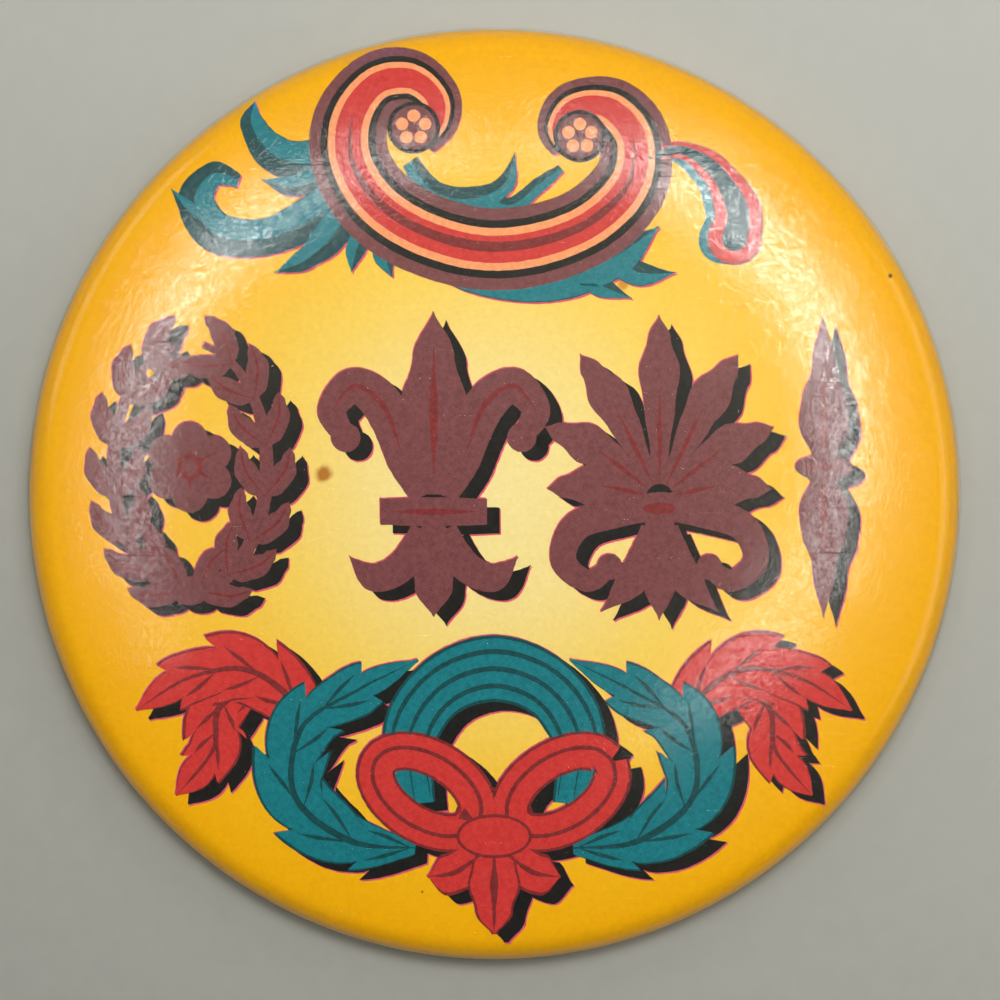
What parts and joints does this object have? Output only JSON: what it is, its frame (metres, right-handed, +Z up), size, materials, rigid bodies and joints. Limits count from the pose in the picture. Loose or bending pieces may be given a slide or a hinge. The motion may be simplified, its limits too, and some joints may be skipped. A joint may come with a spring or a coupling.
{
  "type": "button badge",
  "caption": "Round domed button badge: clear film over a printed disc on a tinplate shell, with a recessed back plate and a sprung wire safety pin.",
  "frame": {"origin": "centre of the back rim's plane, where the badge meets the cloth that it is pinned to", "axes": "+X across the face, +Y from the face to the back, +Z up as the badge is worn"},
  "size_m": [0.055, 0.0071, 0.055],
  "materials": {
    "clear_film": "clear glossy film",
    "printed_paper": "litho-printed coated paper",
    "tinplate_shell": "bright tinplate",
    "tinplate_back": "bright tinplate, pressed",
    "pin_wire": "nickel-plated spring steel wire"
  },
  "bodies": {
    "badge": {"clear_film": "clear_film", "print_disc": "printed_paper", "front_shell": "tinplate_shell", "back_plate": "tinplate_back", "pin_wire": "pin_wire"},
    "pin": {"pin_arm": "pin_wire"}
  },
  "joints": [
    {"name": "pin_swing", "type": "hinge", "parent": "badge", "child": "pin", "pos_m": [-0.0155, -0.00112, 0.00363], "axis": [0, -0.5736, 0.8192], "range_deg": [0, 35]}
  ]
}
